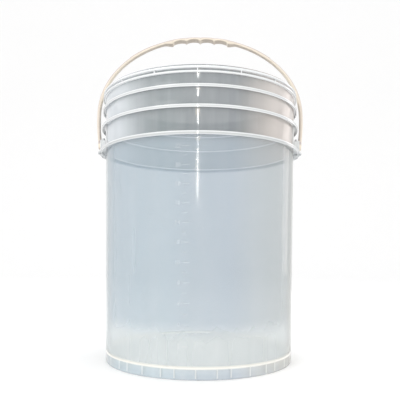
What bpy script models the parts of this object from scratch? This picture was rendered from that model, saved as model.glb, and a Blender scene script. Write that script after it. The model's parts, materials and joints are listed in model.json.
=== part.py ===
"""Plastic fermenting bucket: an open, ribbed polypropylene bucket with a swinging bail handle.

Metres, +Z up. The origin is the centre of the foot ring, on the surface the bucket stands on.
X runs through the two handle ears, and the bail stands upright in the plane y = 0.
"""

import math

import bmesh
import bpy
from mathutils import Matrix, Vector

# Driving dimensions of the bucket
RIM_TOP = 0.4364                # height of the mouth above the foot
BASE_RADIUS = 0.1497            # outer wall radius at the foot
WALL_TAPER = 0.02606            # radius gained per unit of height
WALL = 0.0022                   # wall thickness
SEGMENTS = 72                   # facets round the bucket

# Foot and floor
FLOOR_TOP = 0.0152
FLOOR_THICKNESS = 0.0022
FOOT_EDGE = 0.0005              # chamfer under the foot ring
CENTRE_RADIUS = 0.028           # raised disc in the middle of the floor
CENTRE_RISE = 0.0008
CORNER = 0.004                  # inside fillet between floor and wall
CORNER_STEPS = 3

# Strengthening ribs, from the top down: height of the top face, outer radius, height of the lip
RIBS = ((0.4263, 0.1650, 0.0027), (0.4072, 0.1650, 0.0046),
        (0.3775, 0.1660, 0.0047), (0.3394, 0.1660, 0.0054))
RIB_PLATE = 0.0018              # thickness of the flange
RIB_LIP_WALL = 0.0016           # thickness of the lip

# Rim
BEAD_TOP = 0.4336               # the lid bead runs round the wall just below the mouth
BEAD_BOTTOM = 0.4302
BEAD_RADIUS = 0.1646
BEAD_CHAMFER = 0.0007
LIP_CHAMFER = 0.0006

# Small webs
RIM_GUSSETS = 16
RIM_GUSSET_THICKNESS = 0.0014
RIM_GUSSET_SHIFT = math.radians(-1.3)
FOOT_SECTORS = 12               # the foot webs repeat twelve times, three webs in each sector
FOOT_WEB_STEPS = (math.radians(0.0), math.radians(11.25), math.radians(18.75))
FOOT_WEB_SHIFT = math.radians(-1.4)
FOOT_WEB_THICKNESS = 0.0014
FOOT_WEB_REACH = 0.006          # how far a web runs in from the skirt
FOOT_WEB_BOTTOM = 0.0025
BITE = 0.0006                   # how far joined shapes run into each other
SAME_PLACE = 1e-6               # vertices closer than this are one

# Handle ears, one on each side
PIVOT_HEIGHT = 0.3545
EAR_PLATE_INNER = 0.1645        # x of the two faces of the upright ear plate
EAR_PLATE_OUTER = 0.1670
EAR_HALF_WIDTH = 0.024
EAR_SHOULDER = 0.3580           # top of the plate beside the round lug
EAR_LUG_RADIUS = 0.0115         # the lug round the pivot
EAR_LUG_STEPS = 8
EAR_WEB_THICKNESS = 0.0018
EAR_ROOT = 0.0012               # how far the ear's webs run into the wall
EAR_SHELF_REACH = 0.1720        # x of the shelf's outer edge
EAR_SHELF_HALF = 0.016          # half length of its straight edge
EAR_SHELF_THICKNESS = 0.0030
SHELF_STEPS = 8
EAR_GUSSET_DROP = 0.0070        # the webs under the shelf run this far below the rib's lip
EAR_GUSSET_TIP = 0.0015         # height of their outer end
EAR_GUSSET_PLACE = 0.0145       # distance of the two webs from the middle of the shelf
BORE_RADIUS = 0.0060
BORE_SIDES = 32
WALL_STRAP_ANGLE = math.radians(20.5)
WALL_STRAP_REACH = 0.0025
WALL_STRAP_THICKNESS = 0.0018

# Handle: the outline is a half oval on two legs that lean in
ARCH_HALF_WIDTH = 0.178
ARCH_SPRING = 0.404             # height where the ellipse starts
ARCH_RISE = 0.1430
ARCH_POWER = 2.10               # a little fuller at the shoulders than an ellipse
LEG_BOTTOM = 0.3490
LEG_LEAN = 0.0045
LEG_LEAN_POWER = 2.2
ARM_WIDTH = 0.0105              # along Y
EDGE_SHARE = 0.3                # no chamfer is more than this share of the thickness
STRIP_EDGE = 0.0018             # chamfer of the strip's long edges
GRIP_WIDTH = 0.016
GRIP_HALF = 0.0495              # half length of the grip
FINGERS = 4
GRIP_THIN = 0.0052              # thickness in the middle of a finger hollow
GRIP_THICK = 0.0092             # thickness at the points between the fingers
ARM_THICK = 0.0060
SHOULDER_THIN = 0.0054
LEG_THICK = 0.0056
SHOULDER_BLEND = 0.016
ARM_SWELL = (0.065, 0.120)      # x between which the arms reach their full thickness
LEG_THIN = (0.55, 0.95)         # share of the half length over which the legs thin out
FLARE = 0.020                   # length over which the strip widens into the grip
GRIP_SHARE = 0.192              # share of the half length that the grip takes
GRIP_STATIONS = 33
ARM_STATIONS = 17

# Handle pins
PIN_RADIUS = 0.0056
PIN_TIP = 0.1612                # x of the pin's inner end
BARB_RADIUS = 0.0067
BARB_TIP_RADIUS = 0.0048
BARB_START = 0.1640             # x of the barb's shoulder, just inside the ear plate
PIN_SLIT = 0.0020
PIN_SIDES = 32
HUB_RADIUS = 0.0085             # round end of each leg
HUB_INNER = 0.1680              # x of the hub's two faces
HUB_OUTER = 0.1738


def wall_radius(z):
    """Outer radius of the tapered wall at a height."""
    return BASE_RADIUS + WALL_TAPER * z


def clear_scene():
    for old in list(bpy.data.objects):
        bpy.data.objects.remove(old, do_unlink=True)


def plastic(name, colour, roughness, alpha=1.0):
    """A moulded plastic as a Principled BSDF."""
    material = bpy.data.materials.new(name)
    material.use_nodes = True
    shader = material.node_tree.nodes["Principled BSDF"]
    shader.inputs["Base Color"].default_value = (*colour, 1.0)
    shader.inputs["Roughness"].default_value = roughness
    shader.inputs["Metallic"].default_value = 0.0
    shader.inputs["Alpha"].default_value = alpha
    return material


def object_from(name, mesh_builder, material=None):
    """A new object whose mesh is the given bmesh."""
    bmesh.ops.recalc_face_normals(mesh_builder, faces=mesh_builder.faces[:])
    mesh = bpy.data.meshes.new(name)
    mesh_builder.to_mesh(mesh)
    mesh_builder.free()
    made = bpy.data.objects.new(name, mesh)
    bpy.context.collection.objects.link(made)
    if material:
        mesh.materials.append(material)
    return made


def shade(made, angle):
    made.data.shade_smooth()
    made.data.set_sharp_from_angle(angle=math.radians(angle))


def boolean(target, tool, operation):
    """Adds an exact Boolean whose tool is a hidden guide object."""
    modifier = target.modifiers.new(tool.name, "BOOLEAN")
    modifier.operation = operation
    modifier.solver = "EXACT"
    modifier.object = tool
    tool.hide_render = True
    tool.display_type = "WIRE"


def lathe(builder, outline, segments):
    """Turns an (r, z) outline about Z. It starts and ends on the axis."""
    rings = []
    for r, z in outline:
        if r == 0.0:
            rings.append([builder.verts.new((0.0, 0.0, z))])
            continue
        ring = []
        for step in range(segments):
            angle = 2.0 * math.pi * step / segments
            ring.append(builder.verts.new((r * math.cos(angle), r * math.sin(angle), z)))
        rings.append(ring)
    for upper, lower in zip(rings, rings[1:]):
        for step in range(segments):
            following = (step + 1) % segments
            corners = [upper[step % len(upper)], lower[step % len(lower)],
                       lower[following % len(lower)], upper[following % len(upper)]]
            builder.faces.new(list(dict.fromkeys(corners)))


def extrude_outline(builder, outline, depth):
    """A prism: the outline lies in a plane and is given depth as a vector."""
    near = [builder.verts.new(point) for point in outline]
    far = [builder.verts.new(Vector(point) + Vector(depth)) for point in outline]
    builder.faces.new(near)
    builder.faces.new(list(reversed(far)))
    for index in range(len(near)):
        following = (index + 1) % len(near)
        builder.faces.new((near[index], far[index], far[following], near[following]))


def rib_outline(top, radius, lip):
    """Outline of one rib from its top corner at the wall to its bottom corner at the wall."""
    underside = top - RIB_PLATE
    edge_bottom = top - lip
    inside_edge = radius - RIB_LIP_WALL
    return [
        (wall_radius(top), top),
        (radius - LIP_CHAMFER, top),
        (radius, top - LIP_CHAMFER),
        (radius, edge_bottom),
        (inside_edge, edge_bottom),
        (inside_edge, underside),
        (wall_radius(underside), underside),
    ]


def bucket_outline():
    """Half section of the bucket, down its outside, across the foot and up its inside."""
    mouth = wall_radius(RIM_TOP)
    points = [
        (mouth - WALL + LIP_CHAMFER, RIM_TOP),
        (mouth - LIP_CHAMFER, RIM_TOP),
        (mouth, RIM_TOP - LIP_CHAMFER),
        (wall_radius(BEAD_TOP), BEAD_TOP),
        (BEAD_RADIUS - BEAD_CHAMFER, BEAD_TOP),
        (BEAD_RADIUS, BEAD_TOP - BEAD_CHAMFER),
        (BEAD_RADIUS, BEAD_BOTTOM),
        (wall_radius(BEAD_BOTTOM), BEAD_BOTTOM),
    ]
    for rib in RIBS:
        points += rib_outline(*rib)
    skirt_inside = BASE_RADIUS - WALL
    under_floor = FLOOR_TOP - FLOOR_THICKNESS
    points += [
        (BASE_RADIUS, FOOT_EDGE),
        (BASE_RADIUS - FOOT_EDGE, 0.0),
        (skirt_inside + FOOT_EDGE, 0.0),
        (skirt_inside, FOOT_EDGE),
        (skirt_inside, under_floor),
        (CENTRE_RADIUS, under_floor),
        (CENTRE_RADIUS - CENTRE_RISE, under_floor + CENTRE_RISE),
        (0.0, under_floor + CENTRE_RISE),
    ]
    inside = [(0.0, FLOOR_TOP + CENTRE_RISE), (CENTRE_RADIUS - CENTRE_RISE, FLOOR_TOP + CENTRE_RISE),
              (CENTRE_RADIUS, FLOOR_TOP)]
    corner_z = FLOOR_TOP + CORNER
    corner_r = wall_radius(corner_z) - WALL - CORNER
    for step in range(CORNER_STEPS + 1):
        angle = 0.5 * math.pi * step / CORNER_STEPS
        inside.append((corner_r + CORNER * math.sin(angle), corner_z - CORNER * math.cos(angle)))
    inside.append((mouth - WALL, RIM_TOP - LIP_CHAMFER))
    return points, inside


def bucket_shell():
    """The turned bucket: the outline closes on itself at the mouth and on the axis at the floor."""
    outside, inside = bucket_outline()
    builder = bmesh.new()
    lathe(builder, outside, SEGMENTS)
    lathe(builder, inside, SEGMENTS)
    lathe(builder, [inside[-1], outside[0]], SEGMENTS)
    bmesh.ops.remove_doubles(builder, verts=builder.verts[:], dist=SAME_PLACE)
    return builder


def radial_plate(builder, angle, thickness, outline):
    """A flat web standing on the radius at an angle; its outline is a list of (r, z)."""
    outward = Vector((math.cos(angle), math.sin(angle), 0.0))
    across = Vector((-math.sin(angle), math.cos(angle), 0.0))
    points = [outward * r + Vector((0.0, 0.0, z)) - across * thickness / 2.0 for r, z in outline]
    extrude_outline(builder, points, across * thickness)


def rim_gussets():
    """Short webs that bridge the gap between the lid bead and the top rib."""
    builder = bmesh.new()
    top = BEAD_BOTTOM + BITE
    bottom = RIBS[0][0] - BITE
    inner = wall_radius(bottom) - BITE
    outer = BEAD_RADIUS - BEAD_CHAMFER
    for index in range(RIM_GUSSETS):
        angle = -math.pi / 2.0 + RIM_GUSSET_SHIFT + 2.0 * math.pi * index / RIM_GUSSETS
        radial_plate(builder, angle, RIM_GUSSET_THICKNESS,
                     [(inner, top), (outer, top), (outer, bottom), (inner, bottom)])
    return builder


def foot_webs():
    """Webs between the skirt and the floor's underside, in groups of three."""
    builder = bmesh.new()
    top = FLOOR_TOP - FLOOR_THICKNESS + BITE
    outer = BASE_RADIUS - WALL + BITE
    inner = BASE_RADIUS - WALL - FOOT_WEB_REACH
    for sector in range(FOOT_SECTORS):
        start = -math.pi / 2.0 + FOOT_WEB_SHIFT + 2.0 * math.pi * sector / FOOT_SECTORS
        for step in FOOT_WEB_STEPS:
            radial_plate(builder, start + step, FOOT_WEB_THICKNESS,
                         [(inner, top), (outer, top), (outer, FOOT_WEB_BOTTOM), (inner, FOOT_WEB_BOTTOM)])
    return builder


def ear_shelf_plan(side, radius):
    """Plan outline of the shelf: a straight edge, with tangents back to the rib's circle."""
    corner = Vector((EAR_SHELF_REACH, EAR_SHELF_HALF))
    lean = math.atan2(corner.y, corner.x)
    tangent = lean + math.acos(radius / corner.length)
    inner = wall_radius(RIBS[3][0]) - BITE
    touch = Vector((radius * math.cos(tangent), radius * math.sin(tangent)))
    root = Vector((inner * math.cos(tangent), inner * math.sin(tangent)))
    outline = [(touch.x, -touch.y), (corner.x, -corner.y), (corner.x, corner.y), (touch.x, touch.y),
               (root.x, root.y)]
    for step in range(1, SHELF_STEPS):
        angle = tangent * (1.0 - 2.0 * step / SHELF_STEPS)
        outline.append((inner * math.cos(angle), inner * math.sin(angle)))
    outline.append((root.x, -root.y))
    return [(side * x, y) for x, y in outline]


def box_web(side, r_outline, y_middle):
    """A flat web across the Y direction; its outline is a list of (x, z)."""
    builder = bmesh.new()
    start = y_middle - EAR_WEB_THICKNESS / 2.0
    extrude_outline(builder, [(side * x, start, z) for x, z in r_outline], (0.0, EAR_WEB_THICKNESS, 0.0))
    return builder


def ear_plate(side):
    """Upright plate with a round lug about the pivot."""
    builder = bmesh.new()
    bottom = RIBS[3][0] - BITE
    start = math.asin((EAR_SHOULDER - PIVOT_HEIGHT) / EAR_LUG_RADIUS)
    front = [(-EAR_HALF_WIDTH, bottom), (EAR_HALF_WIDTH, bottom), (EAR_HALF_WIDTH, EAR_SHOULDER)]
    for step in range(EAR_LUG_STEPS + 1):
        angle = start + (math.pi - 2.0 * start) * step / EAR_LUG_STEPS
        front.append((EAR_LUG_RADIUS * math.cos(angle), PIVOT_HEIGHT + EAR_LUG_RADIUS * math.sin(angle)))
    front.append((-EAR_HALF_WIDTH, EAR_SHOULDER))
    extrude_outline(builder, [(side * EAR_PLATE_INNER, y, z) for y, z in front],
                    (side * (EAR_PLATE_OUTER - EAR_PLATE_INNER), 0.0, 0.0))
    return builder


def ear_shelf(side):
    """The lowest rib's flange widened into a shelf."""
    builder = bmesh.new()
    rib_top, rib_radius, _ = RIBS[3]
    bottom = rib_top - EAR_SHELF_THICKNESS
    plan = [(x, y, bottom) for x, y in ear_shelf_plan(side, rib_radius - BITE / 2.0)]
    extrude_outline(builder, plan, (0.0, 0.0, EAR_SHELF_THICKNESS - LIP_CHAMFER / 2.0))
    return builder


def ear(side):
    """Shelf, upright plate and webs of one ear, as separate shapes to be joined."""
    shapes = [("ear_shelf", ear_shelf(side)), ("ear_plate", ear_plate(side))]
    rib_top = RIBS[3][0]
    bottom = rib_top - BITE
    root = math.sqrt(wall_radius(bottom) ** 2 - EAR_HALF_WIDTH ** 2) - EAR_ROOT
    outer = EAR_PLATE_OUTER - BITE
    web = [(root, bottom), (outer, bottom), (outer, EAR_SHOULDER - BITE), (root, EAR_SHOULDER - BITE)]

    low = rib_top - EAR_SHELF_THICKNESS - EAR_GUSSET_DROP
    wall = wall_radius(low)
    tip = EAR_SHELF_REACH - BITE
    gusset = [(wall - EAR_ROOT, rib_top - LIP_CHAMFER), (tip, rib_top - LIP_CHAMFER),
              (tip, rib_top - EAR_SHELF_THICKNESS - EAR_GUSSET_TIP), (wall, low), (wall - EAR_ROOT, low)]

    strap_top = RIBS[2][0] - RIB_PLATE + BITE
    strap = [(wall_radius(strap_top) - EAR_ROOT, strap_top),
             (wall_radius(strap_top) + WALL_STRAP_REACH, strap_top),
             (wall_radius(bottom) + WALL_STRAP_REACH, bottom), (wall_radius(bottom) - EAR_ROOT, bottom)]
    middle = 0.0 if side > 0 else math.pi
    for turn in (-1.0, 1.0):
        shapes.append(("ear_web", box_web(side, web, turn * (EAR_HALF_WIDTH - EAR_WEB_THICKNESS / 2.0 - BITE))))
        shapes.append(("ear_gusset", box_web(side, gusset, turn * EAR_GUSSET_PLACE)))
        builder = bmesh.new()
        radial_plate(builder, middle + turn * WALL_STRAP_ANGLE, WALL_STRAP_THICKNESS, strap)
        shapes.append(("wall_strap", builder))
    return shapes


def cylinder_along_x(builder, x_from, x_to, r_from, r_to, sides):
    """A cylinder or cone frustum on the pivot axis."""
    length = abs(x_to - x_from)
    turn = Matrix.Rotation(math.radians(90.0) * (1.0 if x_to > x_from else -1.0), 4, "Y")
    place = Matrix.Translation(((x_from + x_to) / 2.0, 0.0, PIVOT_HEIGHT)) @ turn
    bmesh.ops.create_cone(builder, cap_ends=True, segments=sides, radius1=r_from, radius2=r_to,
                          depth=length, matrix=place)


def build_bucket():
    clear_pp = plastic("clear_polypropylene", (0.86, 0.89, 0.90), 0.18, 0.35)
    bucket = object_from("bucket", bucket_shell(), clear_pp)
    shade(bucket, 30.0)
    boolean(bucket, object_from("guide_rim_gussets", rim_gussets()), "UNION")
    boolean(bucket, object_from("guide_foot_webs", foot_webs()), "UNION")
    for side_name, side in (("right", 1.0), ("left", -1.0)):
        for index, (name, shape) in enumerate(ear(side)):
            boolean(bucket, object_from(f"guide_{name}_{side_name}_{index}", shape), "UNION")
        bore = bmesh.new()
        cylinder_along_x(bore, side * (EAR_PLATE_INNER - BITE), side * (EAR_PLATE_OUTER + BITE),
                         BORE_RADIUS, BORE_RADIUS, BORE_SIDES)
        boolean(bucket, object_from(f"guide_bore_{side_name}", bore), "DIFFERENCE")
    return bucket


def arch_point(t):
    """Point of the handle's outer outline and its outward normal, both in the XZ plane.

    t is -1 at the foot of the left leg, 0 at the crown and 1 at the foot of the right leg.
    """
    side = 1.0 if t >= 0.0 else -1.0
    leg = ARCH_SPRING - LEG_BOTTOM
    arch = 0.5 * math.pi * math.sqrt((ARCH_HALF_WIDTH ** 2 + ARCH_RISE ** 2) / 2.0)
    along = abs(t) * (leg + arch)
    if along <= arch:
        angle = 0.5 * math.pi * (1.0 - along / arch)
        level = max(math.cos(angle), 0.0)
        power = 2.0 / ARCH_POWER
        x = ARCH_HALF_WIDTH * level ** power
        z = ARCH_SPRING + ARCH_RISE * math.sin(angle) ** power
        normal = Vector((level ** (2.0 - power) / ARCH_HALF_WIDTH, 0.0,
                         math.sin(angle) ** (2.0 - power) / ARCH_RISE))
    else:
        fall = (along - arch) / leg
        x = ARCH_HALF_WIDTH - LEG_LEAN * fall ** LEG_LEAN_POWER
        z = ARCH_SPRING - leg * fall
        normal = Vector((leg, 0.0, -LEG_LEAN * LEG_LEAN_POWER * fall ** (LEG_LEAN_POWER - 1.0)))
    normal.normalize()
    return Vector((side * x, 0.0, z)), Vector((side * normal.x, 0.0, normal.z))


def smooth_step(low, high, value):
    fraction = min(max((value - low) / (high - low), 0.0), 1.0)
    return fraction * fraction * (3.0 - 2.0 * fraction)


def handle_thickness(x, t):
    """In-plane thickness of the handle where its outline is x from the centre."""
    if abs(x) <= GRIP_HALF:
        pitch = 2.0 * GRIP_HALF / FINGERS
        phase = ((x + GRIP_HALF) / pitch) % 1.0
        hollow = math.sqrt(max(1.0 - (2.0 * phase - 1.0) ** 2, 0.0))
        return GRIP_THICK - (GRIP_THICK - GRIP_THIN) * hollow
    blend = smooth_step(GRIP_HALF, GRIP_HALF + SHOULDER_BLEND, abs(x))
    arm = SHOULDER_THIN + (ARM_THICK - SHOULDER_THIN) * smooth_step(*ARM_SWELL, abs(x))
    arm += (LEG_THICK - ARM_THICK) * smooth_step(*LEG_THIN, abs(t))
    return GRIP_THICK + (arm - GRIP_THICK) * blend


def handle_width(x, t):
    """Width along Y: a plain strip that flares into the grip."""
    if abs(t) > 0.5:
        return ARM_WIDTH
    flare = 1.0 - smooth_step(GRIP_HALF, GRIP_HALF + FLARE, abs(x))
    return ARM_WIDTH + (GRIP_WIDTH - ARM_WIDTH) * flare


def handle_stations():
    """Values of t along the handle, closer together on the grip."""
    stations = [GRIP_SHARE * (2.0 * index / (GRIP_STATIONS - 1) - 1.0) for index in range(GRIP_STATIONS)]
    for index in range(1, ARM_STATIONS + 1):
        t = GRIP_SHARE + (1.0 - GRIP_SHARE) * index / ARM_STATIONS
        stations = [-t] + stations + [t]
    return stations


def handle_body():
    """The bail: a chamfered strip swept along its arch, with finger hollows under the grip."""
    builder = bmesh.new()
    rings = []
    for t in handle_stations():
        point, normal = arch_point(t)
        thickness = handle_thickness(point.x, t)
        half = handle_width(point.x, t) / 2.0
        edge = min(STRIP_EDGE, thickness * EDGE_SHARE)
        section = [(half - edge, 0.0), (half, -edge), (half, -thickness + edge), (half - edge, -thickness)]
        section += [(-y, depth) for y, depth in reversed(section)]
        places = [point + normal * depth + Vector((0.0, y, 0.0)) for y, depth in section]
        rings.append([builder.verts.new(place) for place in places])
    for ring, following in zip(rings, rings[1:]):
        for index in range(len(ring)):
            other = (index + 1) % len(ring)
            builder.faces.new((ring[index], ring[other], following[other], following[index]))
    builder.faces.new(rings[0])
    builder.faces.new(list(reversed(rings[-1])))
    return builder


def slit_cutter(side):
    """Splits the pin's end so that its barb can close as it snaps in."""
    builder = bmesh.new()
    x_from = side * (PIN_TIP - BITE)
    x_to = side * EAR_PLATE_OUTER
    low = PIVOT_HEIGHT - HUB_RADIUS
    high = PIVOT_HEIGHT + HUB_RADIUS
    outline = [(x_from, low), (x_to, low), (x_to, high), (x_from, high)]
    extrude_outline(builder, [(x, -PIN_SLIT / 2.0, z) for x, z in outline], (0.0, PIN_SLIT, 0.0))
    return builder


def build_handle():
    cream_pp = plastic("cream_polypropylene", (0.93, 0.89, 0.82), 0.42)
    handle = object_from("bail_handle", handle_body(), cream_pp)
    shade(handle, 40.0)
    for name, side in (("right", 1.0), ("left", -1.0)):
        turned = {
            "hub": (HUB_INNER, HUB_OUTER, HUB_RADIUS, HUB_RADIUS),
            "pin": (HUB_INNER + BITE, PIN_TIP + BITE, PIN_RADIUS, PIN_RADIUS),
            "barb": (BARB_START, PIN_TIP, BARB_RADIUS, BARB_TIP_RADIUS),
        }
        for part, (x_from, x_to, r_from, r_to) in turned.items():
            builder = bmesh.new()
            cylinder_along_x(builder, side * x_from, side * x_to, r_from, r_to, PIN_SIDES)
            boolean(handle, object_from(f"guide_{part}_{name}", builder), "UNION")
        boolean(handle, object_from(f"guide_slit_{name}", slit_cutter(side)), "DIFFERENCE")
    axis = Vector((0.0, 0.0, PIVOT_HEIGHT))
    handle.data.transform(Matrix.Translation(-axis))
    handle.location = axis
    return handle


clear_scene()
build_bucket()
build_handle()
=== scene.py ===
"""Looks of the plastic fermenting bucket: fine meshes, materials, light and camera.

Metres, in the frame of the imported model. Both CAD nodes are replaced by finer meshes of the same size.
"""

import json
import math

import bmesh
import bpy
from mathutils import Matrix, Vector


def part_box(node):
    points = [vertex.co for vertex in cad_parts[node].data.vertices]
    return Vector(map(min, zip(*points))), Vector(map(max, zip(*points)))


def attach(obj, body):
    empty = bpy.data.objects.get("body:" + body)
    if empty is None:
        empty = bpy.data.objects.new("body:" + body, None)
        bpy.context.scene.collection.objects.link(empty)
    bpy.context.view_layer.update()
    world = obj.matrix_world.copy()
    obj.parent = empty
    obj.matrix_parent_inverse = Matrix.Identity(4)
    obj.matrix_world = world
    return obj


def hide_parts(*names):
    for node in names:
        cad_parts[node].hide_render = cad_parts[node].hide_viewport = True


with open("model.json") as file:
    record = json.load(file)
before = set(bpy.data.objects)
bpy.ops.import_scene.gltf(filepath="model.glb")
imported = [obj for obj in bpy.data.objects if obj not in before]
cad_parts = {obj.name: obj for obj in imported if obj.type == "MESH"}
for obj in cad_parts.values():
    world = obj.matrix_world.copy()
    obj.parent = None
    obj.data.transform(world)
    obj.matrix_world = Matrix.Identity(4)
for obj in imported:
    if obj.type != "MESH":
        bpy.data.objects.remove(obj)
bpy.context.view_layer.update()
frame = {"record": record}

# Sizes read from the frame
RIM_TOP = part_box("bucket")[1].z
RIB_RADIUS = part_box("bucket")[1].y
SHELF_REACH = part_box("bucket")[1].x
HANDLE_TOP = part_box("bail_handle")[1].z
ARCH_HALF_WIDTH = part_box("bail_handle")[1].x
PIVOT_HEIGHT = frame["record"]["behaviour"]["joints"][0]["pos_m"][2]

# Bucket wall, floor and foot
BASE_RADIUS = 0.1497
WALL_TAPER = 0.02606
WALL = 0.0022
FLOOR_TOP = 0.0152
FLOOR_THICKNESS = 0.0022
FOOT_FILLET = 0.0007
CORNER = 0.004
CENTRE_RADIUS = 0.028
CENTRE_RIDGE = 0.0006
GATE_RADIUS = 0.0022
SEGMENTS = 240
ARC_STEP = math.radians(30.0)

# Rim and ribs, each rib as height of the top face, outer radius and height of the lip
UPPER_RIB_RADIUS = RIB_RADIUS - 0.0010
RIBS = ((0.4263, UPPER_RIB_RADIUS, 0.0027), (0.4072, UPPER_RIB_RADIUS, 0.0046),
        (0.3775, RIB_RADIUS, 0.0047), (0.3394, RIB_RADIUS, 0.0054))
RIB_PLATE = 0.0018
RIB_LIP_WALL = 0.0016
BEAD_TOP = 0.4336
BEAD_BOTTOM = 0.4302
BEAD_RADIUS = 0.1646

# Small webs
RIM_GUSSETS = 16
RIM_GUSSET_SHIFT = math.radians(-1.3)
FOOT_SECTORS = 12
FOOT_WEB_STEPS = (math.radians(0.0), math.radians(11.25), math.radians(18.75))
FOOT_WEB_SHIFT = math.radians(-1.4)
FOOT_WEB_REACH = 0.006
FOOT_WEB_BOTTOM = 0.0025
WEB_THICKNESS = 0.0014
BITE = 0.0006

# Ears
EAR_PLATE_INNER = 0.1645
EAR_PLATE_OUTER = 0.1670
EAR_HALF_WIDTH = 0.024
EAR_SHOULDER = 0.3580
EAR_LUG_RADIUS = 0.0115
EAR_WEB_THICKNESS = 0.0018
EAR_SHELF_HALF = 0.016
EAR_SHELF_THICKNESS = 0.0030
EAR_GUSSET_DROP = 0.0070
EAR_GUSSET_TIP = 0.0015
EAR_GUSSET_PLACE = 0.0145
BORE_RADIUS = 0.0060
WALL_STRAP_ANGLE = math.radians(20.5)
WALL_STRAP_REACH = 0.0025

# Litre scale
SCALE_FIRST = 2
SCALE_LAST = 22
SCALE_RELIEF = 0.0003
TICK_ANGLE = math.radians(-8.6)
NUMBER_ANGLE = math.radians(-9.6)

# Handle
ARCH_SPRING = 0.404
ARCH_RISE = HANDLE_TOP - ARCH_SPRING
ARCH_POWER = 2.10
LEG_BOTTOM = 0.3490
LEG_LEAN = 0.0045
LEG_LEAN_POWER = 2.2
ARM_WIDTH = 0.0105
GRIP_WIDTH = 0.016
GRIP_HALF = 0.0495
FINGERS = 4
GRIP_THIN = 0.0052
GRIP_THICK = 0.0092
ARM_THICK = 0.0060
SHOULDER_THIN = 0.0054
LEG_THICK = 0.0056
SHOULDER_BLEND = 0.016
FLARE = 0.020
HUB_RADIUS = 0.0085
HUB_INNER = 0.1680
HUB_OUTER = 0.1738
ARM_STEP = 0.1225
ARM_STEP_DEPTH = 0.0009
PIN_RADIUS = 0.0056
PIN_TIP = 0.1612
BARB_RADIUS = 0.0067
BARB_TIP_RADIUS = 0.0048
BARB_START = 0.1640
PIN_SLIT = 0.0020

# Tones
# Painted reflection: dark grey for the wall between the ribs, standing in for dark surroundings reflected in
# it
UPPER_PAINTED_REFLECTION = (0.235, 0.255, 0.265)
FLOOR_LINE_TONE = (0.84, 0.81, 0.73)
LEG_FADE = (0.42, 0.47)          # heights between which the legs turn from cream to a cooler tone
FLOOR_DISC_TONE = (0.80, 0.85, 0.85)
SCALE_TONE = (0.95, 0.96, 0.97)
# Painted light on the near side of the wall just above the floor
NEAR_BASE_PAINTED_LIGHT = (0.70, 0.75, 0.76)
# Painted light and shade at the lower wall's edges: both paler than the wall, the right one darker and
# warmer
LIMB_PAINTED_LIGHT_AND_SHADE = ((0.60, 0.62, 0.62), (0.52, 0.50, 0.47))     # left and right edges of the lower wall
# Painted light at the upper wall's edges, where the ribs shade it
RIM_SIDE_PAINTED_LIGHT = ((0.72, 0.76, 0.80), (0.68, 0.63, 0.60))     # left and right edges of the upper wall


def wall_radius(z):
    """Outer radius of the tapered wall at a height."""
    return BASE_RADIUS + WALL_TAPER * z


# --- mesh helpers ---------------------------------------------------------------------------------

def object_from(name, builder):
    """A new object whose mesh is the given bmesh."""
    bmesh.ops.recalc_face_normals(builder, faces=builder.faces[:])
    mesh = bpy.data.meshes.new(name)
    builder.to_mesh(mesh)
    builder.free()
    made = bpy.data.objects.new(name, mesh)
    bpy.context.scene.collection.objects.link(made)
    return made


def rounded(outline):
    """An open (x, z, fillet) outline as plain points, with an arc at each corner that has a fillet."""
    points = [Vector(outline[0][:2])]
    for before, corner, after in zip(outline, outline[1:], outline[2:]):
        here = Vector(corner[:2])
        back = (Vector(before[:2]) - here)
        ahead = (Vector(after[:2]) - here)
        opening = back.angle(ahead)
        if corner[2] == 0.0 or opening > math.radians(175.0):
            points.append(here)
            continue
        reach = min(corner[2] / math.tan(opening / 2.0), 0.49 * back.length, 0.49 * ahead.length)
        radius = reach * math.tan(opening / 2.0)
        back.normalize()
        ahead.normalize()
        centre = here + (back + ahead).normalized() * radius / math.sin(opening / 2.0)
        start = here + back * reach - centre
        turn = math.pi - opening
        sign = 1.0 if start.cross(here + ahead * reach - centre) > 0.0 else -1.0
        steps = max(2, round(turn / ARC_STEP))
        for step in range(steps + 1):
            angle = sign * turn * step / steps
            spun = Vector((start.x * math.cos(angle) - start.y * math.sin(angle),
                           start.x * math.sin(angle) + start.y * math.cos(angle)))
            points.append(centre + spun)
    points.append(Vector(outline[-1][:2]))
    return points


def lathe(outline, segments):
    """Turns an (r, z) outline about Z; where r is 0 the ring is a single point."""
    builder = bmesh.new()
    rings = []
    for r, z in outline:
        count = 1 if r < 1e-7 else segments
        angles = [2.0 * math.pi * step / segments for step in range(count)]
        rings.append([builder.verts.new((r * math.cos(a), r * math.sin(a), z)) for a in angles])
    for upper, lower in zip(rings, rings[1:]):
        for step in range(segments):
            following = (step + 1) % segments
            corners = [upper[step % len(upper)], lower[step % len(lower)],
                       lower[following % len(lower)], upper[following % len(upper)]]
            builder.faces.new(list(dict.fromkeys(corners)))
    return builder


def prism(builder, outline, depth):
    """Adds a prism: the outline lies in a plane, and depth is a vector."""
    near = [builder.verts.new(point) for point in outline]
    far = [builder.verts.new(Vector(point) + Vector(depth)) for point in outline]
    builder.faces.new(near)
    builder.faces.new(list(reversed(far)))
    for index in range(len(near)):
        following = (index + 1) % len(near)
        builder.faces.new((near[index], far[index], far[following], near[following]))


def soften(builder, width, segments=2):
    """Rounds every edge of a small shape."""
    bmesh.ops.bevel(builder, geom=builder.edges[:], offset=width, offset_type="OFFSET",
                    segments=segments, profile=0.5, affect="EDGES", clamp_overlap=True)


def radial_plate(builder, angle, thickness, outline):
    """A flat web standing on the radius at an angle; its outline is a list of (r, z)."""
    outward = Vector((math.cos(angle), math.sin(angle), 0.0))
    across = Vector((-math.sin(angle), math.cos(angle), 0.0))
    points = [outward * r + Vector((0.0, 0.0, z)) - across * thickness / 2.0 for r, z in outline]
    prism(builder, points, across * thickness)


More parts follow.
